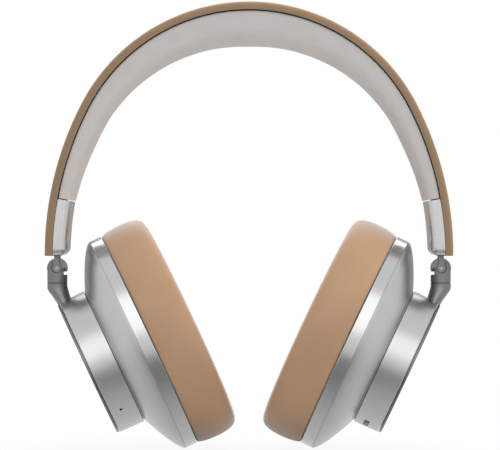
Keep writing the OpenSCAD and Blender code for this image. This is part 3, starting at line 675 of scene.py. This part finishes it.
def makeDial(side):
    low, high = cupSpan("dial_ring_" + side, side)
    hole = min(Vector((p.x, p.y)).length for p in cupPoints("dial_ring_" + side, side))
    edge, inner = dial["edge"], dial["inner"]
    back = cupSpan("drum_housing_" + side, side)[0].z - dial["gap"]
    profile = [(hole, low.z + inner), (hole + inner, low.z), (high.x - edge, low.z),
               (high.x, low.z + edge), (high.x, back), (hole, back)]
    obj = ringStack("dial" + side.title(), [(r, r, z) for r, z in profile], dial["around"], "loop")
    softenEdges(obj, dial["soft"], dial["sharp"])
    settleInCup(obj, side)
    wear(obj, finishes["dial"], "dial_" + side, "bright_aluminium", "dial_ring_" + side)
    # The dial's side is painted darker grey, a painted shade for the dark line between dial and drum
    obj.data.materials.append(finishes["hinge"])
    inward = cupPlaces[side].col[2].to_3d()
    for face in obj.data.polygons:
        if abs(face.normal.dot(inward)) < dial["facing"]:
            face.material_index = 1  # painted shade: the side takes the darker grey anodised finish for the dark line at the gap


def makeDisc(side):
    high = cupSpan("touch_disc_" + side, side)[1]
    dish, hub, flat = disc["dish"], disc["hub"], high.x * disc["flat"]
    middle, halfway, outer = (share * dish for share in disc["hollow"])
    profile = [(hub, middle), (flat / 2, halfway), (flat, outer), (high.x - dish, dish),
               (high.x, 2 * dish), (high.x, high.z), (hub, high.z)]
    obj = ringStack("touchDisc" + side.title(), [(r, r, z) for r, z in profile], disc["around"], "fill")
    smoothShade(obj, disc["sharp"])
    settleInCup(obj, side)
    wear(obj, finishes["face"], "cup_" + side, "satin_aluminium", "touch_disc_" + side)


for side in sides:
    makeDrum(side)
    makeDial(side)
    makeDisc(side)
print("drums, dials and discs done")


# Headband arcs, read off the frame: one crown arc between two leg arcs
coverLow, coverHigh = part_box("headband_cover")
legCentre = Vector(joints["slide_right"]["pos_m"])
legRadius = coverHigh.x - legCentre.x
bandHeight = coverHigh.z - legCentre.z
crownRadius = (legCentre.x ** 2 + bandHeight ** 2 - legRadius ** 2) / (2 * (bandHeight - legRadius))
crownHeight = coverHigh.z - crownRadius
bandTurn = math.pi / 2 - math.atan2(crownHeight - legCentre.z, -legCentre.x)
band = {
    "crownHalf": 18.0,  # mm, half the width at the crown, then at the leg ends
    "legHalf": 11.5,
    "edge": 3.8,        # mm that the leather turns down at its sides
    "skin": 0.7,
    "corner": 2.4,
    "cornerSteps": 8,
    "legSteps": 16,
    "crownSteps": 64,
    "soft": 0.25,
    "sharp": 40,
}


def bandAngle(point):
    # 0 at the crown and a quarter turn at the leg ends
    angle = math.atan2(abs(point.x), point.z - crownHeight)
    if angle > bandTurn:
        angle = math.atan2(abs(point.x) - legCentre.x, point.z - legCentre.z)
    return math.copysign(angle, point.x)


def bandPoint(angle, depth, y):
    if abs(angle) < bandTurn:
        reach = crownRadius - depth
        return Vector((reach * math.sin(angle), y, crownHeight + reach * math.cos(angle)))
    reach = legRadius - depth
    middle = math.copysign(legCentre.x, -angle)
    return Vector((middle + reach * math.sin(angle), y, legCentre.z + reach * math.cos(angle)))


def bandHalf(angle):
    return (band["legHalf"] + (band["crownHalf"] - band["legHalf"]) * math.cos(angle)) * mm


def spinAlongBand(startAngle, endAngle):
    # carries the selected outline from the left leg over the crown to the right leg;
    # with no window spin turns the other way, so the angles are negative
    runs = (
        ((-legCentre.x, 0, legCentre.z), startAngle - bandTurn, band["legSteps"]),
        ((0, 0, crownHeight), 2 * bandTurn, band["crownSteps"]),
        ((legCentre.x, 0, legCentre.z), endAngle - bandTurn, band["legSteps"]),
    )
    for centre, angle, steps in runs:
        bpy.ops.mesh.spin(steps=steps, angle=-angle, center=centre, axis=(0, 1, 0))


def makeCover():
    # a U of leather at the left leg's end, spun along the band, then given its thickness
    edge, half = band["edge"] * mm, band["legHalf"] * mm
    deselectAll()
    bpy.ops.mesh.primitive_plane_add(size=1, location=(coverLow.x + edge / 2, 0, legCentre.z))
    obj = bpy.context.object
    obj.name = "headbandCover"
    obj.scale = (edge, 2 * half, 1)
    bpy.ops.object.transform_apply(location=True, rotation=True, scale=True)
    editAll(obj)
    bpy.ops.mesh.delete(type="ONLY_FACE")
    selectVertices(obj, lambda point: point.x > coverLow.x + edge / 2)
    bpy.ops.mesh.select_mode(type="EDGE")
    bpy.ops.mesh.delete(type="EDGE_FACE")
    selectVertices(obj, lambda point: point.x < coverLow.x + edge / 2)
    bpy.ops.mesh.bevel(offset=band["corner"] * mm, segments=band["cornerSteps"], affect="VERTICES")
    bpy.ops.mesh.select_all(action="SELECT")
    spinAlongBand(math.pi / 2, math.pi / 2)
    bpy.ops.object.mode_set(mode="OBJECT")
    for vertex in obj.data.vertices:
        inset = half - abs(vertex.co.y)
        vertex.co.y = math.copysign(bandHalf(bandAngle(vertex.co)) - inset, vertex.co.y)
    outwardNormals(obj)
    applyModifier(obj, "SOLIDIFY", thickness=band["skin"] * mm, offset=-1)
    softenEdges(obj, band["soft"], band["sharp"])
    wear(obj, finishes["bandLeather"], "headband", "tan_leather", "headband_cover")


makeCover()
print("headband cover done")


# Headband pad: knit over foam, deepest at the crown, open on top for the slider guides
pad = {
    "crown": 15.2,       # mm deep at the crown, then at the sleeves
    "end": 7.3,
    "fall": 1.4,         # how the depth falls towards the sleeves
    "top": 4.0,          # mm under the leather's outer face
    "edge": 0.12,        # mm, how tight the edges under the leather are
    "edgeDrop": 4,       # times as far down as in
    "side": 0.3,         # share of the depth that the sides stand upright
    "crowning": 0.7,     # smaller is squarer across the pad
    "sideInset": 0.3,
    "startInset": 0.3,   # mm that the foam starts inside its space, to swell from
    "below": 24,         # points across the crowned side, then the flat one
    "above": 12,
    "ringRadius": 2.0,   # mm, the ring that is spun, and how far under the top it starts
    "ringDrop": 4.0,
    "pressure": 4.0,
    "cap": 0.5,          # mm that a point may swell
    "held": 1.5,         # mm under the top that stay in the leather
    "heldEnd": 0.01,     # radians at each end that stay by the sleeve
    "endZone": 0.001,    # radians within which a point is on the end face
    "fill": 0.8,
    "gap": 0.04,         # mm short of the sleeves
    "grooveWidth": 9.6,
    "grooveDepth": 8.1,
    "grooveFrom": 60.0,  # degrees from the crown
    "groovePast": 0.03,  # radians past the pad's end
    "grooveSteps": 24,
    "sharp": 50,
}
sleeveStart = min(abs(bandAngle(v.co)) for v in frame["nodes"]["sleeve_left"].data.vertices)
padStop = sleeveStart - pad["gap"] * mm / legRadius


def padSection(angle):
    # a closed outline of (y, depth): flat on top with tight edges, crowned below
    half = bandHalf(angle) - (pad["sideInset"] + pad["startInset"]) * mm
    share = abs(angle) / padStop
    depth = (pad["crown"] - (pad["crown"] - pad["end"]) * share ** pad["fall"] - pad["startInset"]) * mm
    top, edge, side = pad["top"] * mm, pad["edge"] * mm, pad["side"]
    shoulder = top + pad["edgeDrop"] * edge
    points = []
    for i in range(pad["below"] + 1):
        turn = math.pi * i / pad["below"]
        across = math.copysign(abs(math.cos(turn)) ** pad["crowning"], math.cos(turn))
        drop = side + (1 - side) * max(0, math.sin(turn)) ** pad["crowning"]
        points.append((half * across, top + depth * drop))
    points += [(-half, shoulder), (edge - half, top)]
    points += [((half - edge) * (2 * i / pad["above"] - 1), top) for i in range(1, pad["above"])]
    points += [(half - edge, top), (half, shoulder)]
    return points


def grooveCutter(sign):
    # block that follows the leg's arc where the slider guide lies in the pad
    start, end = math.radians(pad["grooveFrom"]), padStop + pad["groovePast"]
    width, depth = pad["grooveWidth"] * mm, pad["grooveDepth"] * mm
    deselectAll()
    bpy.ops.mesh.primitive_plane_add(
        size=1, location=(sign * (legCentre.x + legRadius - depth / 2), 0, legCentre.z))
    cutter = bpy.context.object
    cutter.scale = (depth, width, 1)
    bpy.ops.object.transform_apply(location=True, rotation=True, scale=True)
    centre = Vector((sign * legCentre.x, 0, legCentre.z))
    turn = Matrix.Rotation(-sign * (math.pi / 2 - end), 3, "Y")
    for vertex in cutter.data.vertices:
        vertex.co = turn @ (vertex.co - centre) + centre
    editAll(cutter)
    bpy.ops.mesh.spin(
        steps=pad["grooveSteps"], angle=sign * (end - start), center=centre, axis=(0, 1, 0))
    bpy.ops.object.mode_set(mode="OBJECT")
    outwardNormals(cutter)
    return cutter


def makePad():
    # a ring at the left end, spun along the band, then each of its points set on the section
    count = len(padSection(0))
    middle = pad["top"] + pad["ringDrop"]
    deselectAll()
    bpy.ops.mesh.primitive_circle_add(
        vertices=count, radius=pad["ringRadius"] * mm, location=bandPoint(-padStop, middle * mm, 0),
        rotation=(0, math.atan2(-math.cos(padStop), -math.sin(padStop)), 0))
    obj = bpy.context.object
    obj.name = "headbandPad"
    bpy.ops.object.transform_apply(location=True, rotation=True, scale=True)
    editAll(obj)
    spinAlongBand(padStop, padStop)
    bpy.ops.object.mode_set(mode="OBJECT")
    for vertex in obj.data.vertices:
        angle = bandAngle(vertex.co)
        depth = (bandPoint(angle, 0, vertex.co.y) - vertex.co).length - middle * mm
        place = math.atan2(depth, vertex.co.y) / math.tau * count
        y, depth = padSection(angle)[round(place) % count]
        vertex.co = bandPoint(angle, depth, y)
    editAll(obj)
    bpy.ops.mesh.fill_holes(sides=0)
    outwardNormals(obj)
    selectVertices(obj, lambda point: abs(bandAngle(point)) > padStop - pad["endZone"])
    bpy.ops.transform.edge_crease(value=1)
    bpy.ops.object.mode_set(mode="OBJECT")
    heldDepth = (pad["top"] + pad["held"]) * mm

    def held(point):
        angle = bandAngle(point)
        outer = bandPoint(angle, 0, point.y)
        return (outer - point).length < heldDepth or abs(angle) > padStop - pad["heldEnd"]

    swell(obj, pad, held)
    applyModifier(obj, "SUBSURF", levels=1, render_levels=1)
    for sign in (-1, 1):
        cutAway(obj, grooveCutter(sign))
    smoothShade(obj, pad["sharp"])
    wear(obj, finishes["knit"], "headband", "grey_knit", "headband_pad")


makePad()
print("headband pad done")


# Machined pieces that keep their CAD form: body, finish, slot, and mm that the edges are softened by
machined = {
    "sleeve": ("headband", "sleeve", "bright_aluminium", 0.25),
    "slider_arm": ("slider", "hinge", "dark_steel", 0.15),
    "knuckle": ("knuckle", "hinge", "dark_steel", 0.2),
    "yoke_arm": ("cup", "hinge", "satin_aluminium", 0.2),
}
controls = {
    "assistant_button": ("assistant_button", "dial", "bright_aluminium", 0.2),
    "power_slider": ("power_slider", "hinge", "dark_steel", 0.2),
}
machinedAngles = {"flat": 0.5, "sharp": 35}  # degrees: less is one face, more is an edge
sleeveEnd = {"height": 3.6, "inset": 2.4, "keep": 5.5, "bands": 7}  # mm, but for the count of bands


def roundSleeveEnd(obj):
    # cut into bands near its lower end, which then curve in from the front and the back
    lowest = min(v.co.z for v in obj.data.vertices)
    reach = max(abs(v.co.y) for v in obj.data.vertices)
    height, inset, keep = (sleeveEnd[key] * mm for key in ("height", "inset", "keep"))
    for i in range(1, sleeveEnd["bands"] + 1):
        level = lowest + height * (i / sleeveEnd["bands"]) ** 2
        editAll(obj)
        bpy.ops.mesh.bisect(plane_co=(0, 0, level), plane_no=(0, 0, 1))
    bpy.ops.object.mode_set(mode="OBJECT")
    for vertex in obj.data.vertices:
        share = max(0, 1 - (vertex.co.z - lowest) / height)
        sink = inset * (1 - math.sqrt(1 - share ** 2))
        weight = max(0, abs(vertex.co.y) - keep) / (reach - keep)
        vertex.co.y -= math.copysign(sink * weight, vertex.co.y)


def softCopy(node, name, body, finish, slot, width):
    source = frame["nodes"][node]
    obj = bpy.data.objects.new(name, source.data.copy())
    bpy.context.scene.collection.objects.link(obj)
    editAll(obj)
    bpy.ops.mesh.customdata_custom_splitnormals_clear()
    bpy.ops.mesh.remove_doubles(threshold=weld)
    bpy.ops.mesh.dissolve_limited(angle_limit=math.radians(machinedAngles["flat"]))
    bpy.ops.object.mode_set(mode="OBJECT")
    if finish == "sleeve":
        roundSleeveEnd(obj)
    softenEdges(obj, width, machinedAngles["sharp"])
    wear(obj, finishes[finish], body, slot, node)


for part, (body, finish, slot, width) in machined.items():
    for side in sides:
        name = part.replace("_", " ").title().replace(" ", "") + side.title()
        sideBody = body if body == "headband" else body + "_" + side
        softCopy(part + "_" + side, name[0].lower() + name[1:], sideBody, finish, slot, width)
for part, (body, finish, slot, width) in controls.items():
    softCopy(part, part.split("_")[0] + "Control", body, finish, slot, width)
print("machined pieces done")

# Nodes that stay as they are get the finish of what they are made of
innerFinishes = {
    "black": ["headband_liner", "headband_cable", "swivel_washer", "drum_gasket", "baffle",
              "driver_basket", "cushion_ring", "mic_mesh"],
    "steel": ["headband_spring", "band_rivets", "fold_pin", "swivel_pin", "baffle_screws",
              "driver_magnet", "usb_socket", "jack_socket"],
    "cloth": ["driver_cloth"],
    "nylon": ["slider_guide"],
    "board": ["circuit_board"],
    "cell": ["battery_cell"],
    "film": ["driver_diaphragm"],
}
for finish, parts in innerFinishes.items():
    for part in parts:
        for node, obj in frame["nodes"].items():
            if node in (part, part + "_left", part + "_right"):
                obj.data.materials.clear()
                obj.data.materials.append(finishes[finish])
print("inner pieces painted")


# Studio, in metres: white paper and background, a long front box over the camera, a strip behind,
# soft light from the top and the right
studio = {
    "floorDrop": 0.2 * mm,
    "floorSize": 8,
    "paper": "#C4C4C4",          # the colour that lights the object from below
    "plain": "#FFFFFF",
    "white": 0.93,               # share of the paper that shows plain white, the rest takes the shadow
    "shadowReach": (0.1, 0.35),  # from the middle, over which the paper turns all white
    "fill": 0.5,                 # light from all round
    "darkPatchPlace": (0, -0.17, 0),  # patch of the floor that glows darker for mirror rays in front of the object: a painted dark reflection, seen only in the metal
    "darkPatchTone": 0.3,
    "darkPatchReach": (0.06, 0.22),
    "lampTarget": (0, 0, -0.09),
}
# Grey card standing behind, seen only in the metal: it draws the upper edges against the white
backCard = {"place": (0, 0.45, -0.03), "size": (1.6, 0.38), "tone": 0.45}
lamps = {
    "frontBox": {"place": (0, -1.1, 0.4), "size": (1.5, 0.75), "watts": 3.2, "inMetal": True},
    "backStrip": {"place": (0, 0.9, 0.66), "size": (1.4, 0.4), "watts": 2.6, "inMetal": True},
    "topBox": {"place": (0, 0.3, 1.2), "size": (1.5, 1.0), "watts": 22, "inMetal": False},
    "sideBox": {"place": (1.2, 0.0, 0.5), "size": (0.8, 0.8), "watts": 7, "inMetal": False},
}


def makeFloor():
    deselectAll()
    height = cadBox[0].z - studio["floorDrop"]
    bpy.ops.mesh.primitive_plane_add(size=studio["floorSize"], location=(0, 0, height))
    floor = bpy.context.object
    floor.name = "floor"
    material = bpy.data.materials.new("whitePaperSweep")
    material.use_nodes = True
    tree = material.node_tree
    tree.nodes.remove(tree.nodes["Principled BSDF"])
    rays = addNode(tree, "ShaderNodeLightPath")
    mirror = addNode(tree, "ShaderNodeMath", {"operation": "MAXIMUM"},
                     {0: rays.outputs["Is Glossy Ray"], 1: rays.outputs["Is Transmission Ray"]})
    where = addNode(tree, "ShaderNodeTexCoord").outputs["Object"]
    away = addNode(tree, "ShaderNodeVectorMath", {"operation": "LENGTH"}, {0: where})
    shadowStart, shadowEnd = studio["shadowReach"]
    white = addNode(tree, "ShaderNodeMapRange", {
        "From Min": shadowStart, "From Max": shadowEnd, "To Min": studio["white"], "To Max": 1},
        {"Value": away.outputs["Value"]})
    shown = addNode(tree, "ShaderNodeMath", {"operation": "MULTIPLY"},
                    {0: rays.outputs["Is Camera Ray"], 1: white.outputs["Result"]})
    share = addNode(tree, "ShaderNodeMath", {"operation": "MAXIMUM"},
                    {0: shown.outputs["Value"], 1: mirror.outputs["Value"]})
    # The floor's glow for mirror rays is dimmed near this place: a dark patch painted into the floor, a
    # painted reflection in the metal
    card = addNode(tree, "ShaderNodeVectorMath",
                   {"operation": "DISTANCE", 1: studio["darkPatchPlace"]}, {0: where})
    darkPatchStart, darkPatchEnd = studio["darkPatchReach"]
    tone = addNode(tree, "ShaderNodeMapRange", {
        "interpolation_type": "SMOOTHSTEP", "From Min": darkPatchStart, "From Max": darkPatchEnd,
        "To Min": studio["darkPatchTone"], "To Max": 1}, {"Value": card.outputs["Value"]})
    level = addNode(tree, "ShaderNodeMix", {2: 1},
                    {0: mirror.outputs["Value"], 3: tone.outputs["Result"]})
    paper = addNode(tree, "ShaderNodeBsdfDiffuse", {"Color": linear(studio["paper"])})
    glow = addNode(tree, "ShaderNodeEmission", {"Color": linear(studio["plain"])},
                   {"Strength": level.outputs[0]})
    mixed = addNode(tree, "ShaderNodeMixShader", links={
        0: share.outputs["Value"], 1: paper.outputs["BSDF"], 2: glow.outputs["Emission"]})
    tree.links.new(mixed.outputs["Shader"], tree.nodes["Material Output"].inputs["Surface"])
    floor.data.materials.append(material)


def makeBackCard():
    deselectAll()
    bpy.ops.mesh.primitive_plane_add(
        size=1, location=backCard["place"], rotation=(math.radians(90), 0, 0))
    card = bpy.context.object
    card.name = "backCard"
    card.scale = (backCard["size"][0], backCard["size"][1], 1)
    material = bpy.data.materials.new("greyCard")
    material.use_nodes = True
    tree = material.node_tree
    tree.nodes.remove(tree.nodes["Principled BSDF"])
    glow = addNode(tree, "ShaderNodeEmission",
                   {"Color": linear(studio["plain"]), "Strength": backCard["tone"]})
    tree.links.new(glow.outputs["Emission"], tree.nodes["Material Output"].inputs["Surface"])
    card.data.materials.append(material)
    card.visible_camera = card.visible_diffuse = card.visible_shadow = card.visible_transmission = False


def makeWorld():
    world = bpy.data.worlds.new("whiteStudio")
    bpy.context.scene.world = world
    world.use_nodes = True
    tree = world.node_tree
    background = tree.nodes["Background"]
    rays = addNode(tree, "ShaderNodeLightPath")
    mirror = addNode(tree, "ShaderNodeMath", {"operation": "MAXIMUM"},
                     {0: rays.outputs["Is Glossy Ray"], 1: rays.outputs["Is Transmission Ray"]})
    seen = addNode(tree, "ShaderNodeMath", {"operation": "MAXIMUM"},
                   {0: mirror.outputs["Value"], 1: rays.outputs["Is Camera Ray"]})
    level = addNode(tree, "ShaderNodeMix", {2: studio["fill"], 3: 1}, {0: seen.outputs["Value"]})
    tree.links.new(level.outputs[0], background.inputs["Strength"])
    background.inputs["Color"].default_value = linear(studio["plain"])


def makeLamps():
    target = Vector(studio["lampTarget"])
    for name, lamp in lamps.items():
        deselectAll()
        place = Vector(lamp["place"])
        bpy.ops.object.light_add(type="AREA", location=place)
        obj = bpy.context.object
        obj.name = name
        obj.rotation_euler = (target - place).to_track_quat("-Z", "Y").to_euler()
        obj.data.shape = "RECTANGLE"
        obj.data.size, obj.data.size_y = lamp["size"]
        obj.data.energy = lamp["watts"]
        obj.visible_camera = False
        obj.visible_glossy = lamp["inMetal"]


makeFloor()
makeBackCard()
makeWorld()
makeLamps()
bpy.context.scene.view_settings.view_transform = "Standard"
print("studio done")
